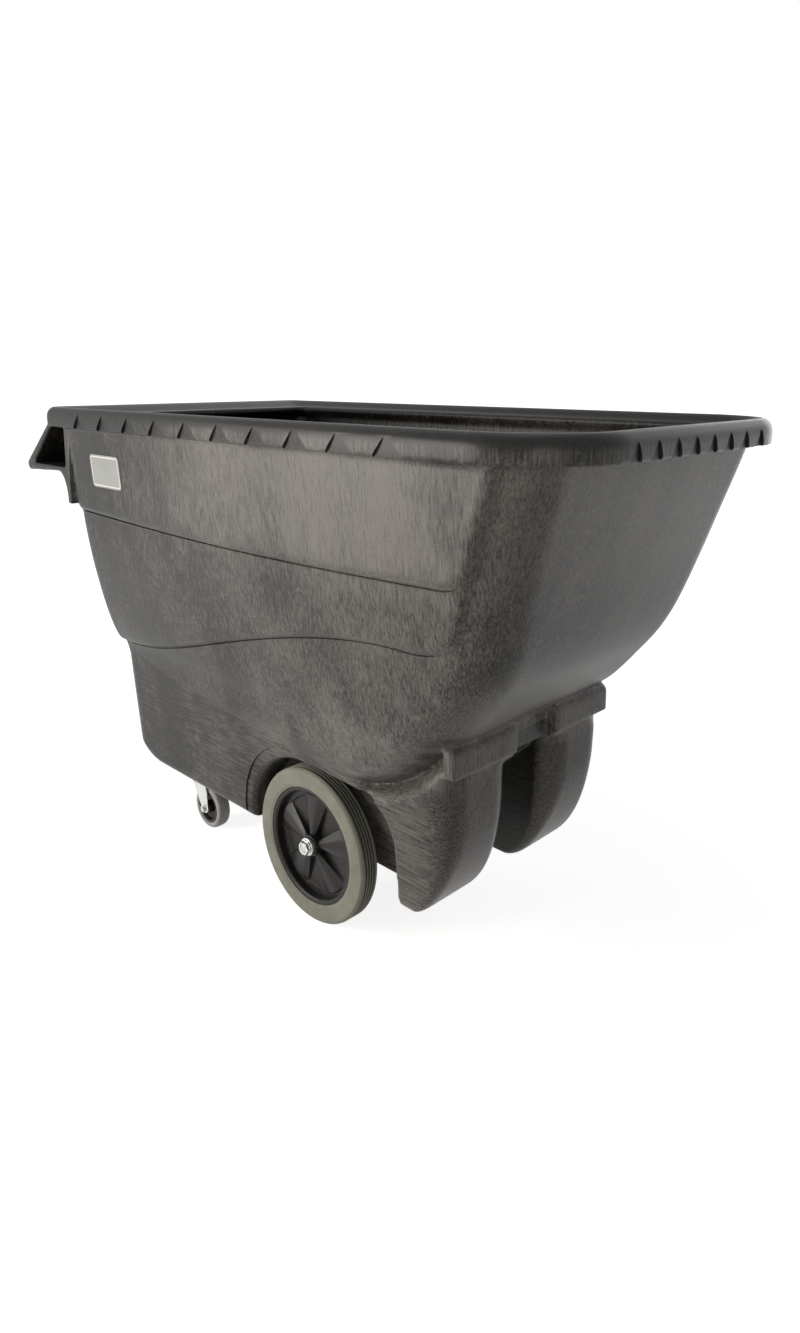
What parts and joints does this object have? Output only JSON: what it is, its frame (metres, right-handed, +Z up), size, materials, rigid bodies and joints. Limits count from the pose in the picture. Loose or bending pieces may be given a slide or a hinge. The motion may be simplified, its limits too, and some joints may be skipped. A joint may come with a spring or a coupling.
{
  "type": "tilt truck",
  "caption": "Moulded tilt truck for moving and dumping waste: deep tapered hopper, full-width sloped handle, large centre wheels, rear swivel casters and rounded front feet.",
  "frame": {"origin": "on the floor below the middle of the truck's bounding box", "axes": "+X towards the dump end, away from the handle; +Y to the truck's left side; +Z up"},
  "size_m": [1.533, 0.711, 0.981],
  "materials": {
    "moulding": "dark grey moulded plastic with a fine brushed grain",
    "tyre": "grey-olive non-marking rubber, matt",
    "hub": "black moulded plastic, satin",
    "zinc": "bright zinc plating",
    "steel": "plain bright steel",
    "bush": "natural bearing plastic",
    "tread": "grey tread rubber, matt"
  },
  "bodies": {
    "truck": {"axle": "steel", "axle_saddle_left": "zinc", "axle_saddle_left_screw_1": "zinc", "axle_saddle_left_screw_2": "zinc", "axle_saddle_right": "zinc", "axle_saddle_right_screw_1": "zinc", "axle_saddle_right_screw_2": "zinc", "caster_left_kingpin": "steel", "caster_left_kingpin_nut": "zinc", "caster_left_plate": "zinc", "caster_left_race": "steel", "caster_left_screw_1": "zinc", "caster_left_screw_2": "zinc", "caster_left_screw_3": "zinc", "caster_left_screw_4": "zinc", "caster_right_kingpin": "steel", "caster_right_kingpin_nut": "zinc", "caster_right_plate": "zinc", "caster_right_race": "steel", "caster_right_screw_1": "zinc", "caster_right_screw_2": "zinc", "caster_right_screw_3": "zinc", "caster_right_screw_4": "zinc", "hopper": "moulding", "wheel_left_axle_nut": "zinc", "wheel_left_spacer": "zinc", "wheel_left_washer_inner": "zinc", "wheel_left_washer_outer": "zinc", "wheel_right_axle_nut": "zinc", "wheel_right_spacer": "zinc", "wheel_right_washer_inner": "zinc", "wheel_right_washer_outer": "zinc"},
    "wheel_left": {"wheel_left_bushing": "bush", "wheel_left_hub": "hub", "wheel_left_tyre": "tyre"},
    "caster_left": {"caster_left_bolt": "zinc", "caster_left_bolt_nut": "zinc", "caster_left_fork": "zinc", "caster_left_sleeve": "steel"},
    "caster_wheel_left": {"caster_left_core": "hub", "caster_left_tread": "tread"},
    "wheel_right": {"wheel_right_bushing": "bush", "wheel_right_hub": "hub", "wheel_right_tyre": "tyre"},
    "caster_right": {"caster_right_bolt": "zinc", "caster_right_bolt_nut": "zinc", "caster_right_fork": "zinc", "caster_right_sleeve": "steel"},
    "caster_wheel_right": {"caster_right_core": "hub", "caster_right_tread": "tread"}
  },
  "joints": [
    {"name": "wheel_left_spin", "type": "hinge", "parent": "truck", "child": "wheel_left", "pos_m": [0.103, 0.185, 0.1524], "axis": [0, 1, 0], "continuous": true},
    {"name": "caster_left_swivel", "type": "hinge", "parent": "truck", "child": "caster_left", "pos_m": [-0.376, 0.129, 0.13], "axis": [0, 0, 1], "continuous": true},
    {"name": "caster_wheel_left_spin", "type": "hinge", "parent": "caster_left", "child": "caster_wheel_left", "pos_m": [-0.344, 0.129, 0.0508], "axis": [0, 1, 0], "continuous": true},
    {"name": "wheel_right_spin", "type": "hinge", "parent": "truck", "child": "wheel_right", "pos_m": [0.103, -0.185, 0.1524], "axis": [0, 1, 0], "continuous": true},
    {"name": "caster_right_swivel", "type": "hinge", "parent": "truck", "child": "caster_right", "pos_m": [-0.376, -0.129, 0.13], "axis": [0, 0, 1], "continuous": true},
    {"name": "caster_wheel_right_spin", "type": "hinge", "parent": "caster_right", "child": "caster_wheel_right", "pos_m": [-0.344, -0.129, 0.0508], "axis": [0, 1, 0], "continuous": true}
  ]
}
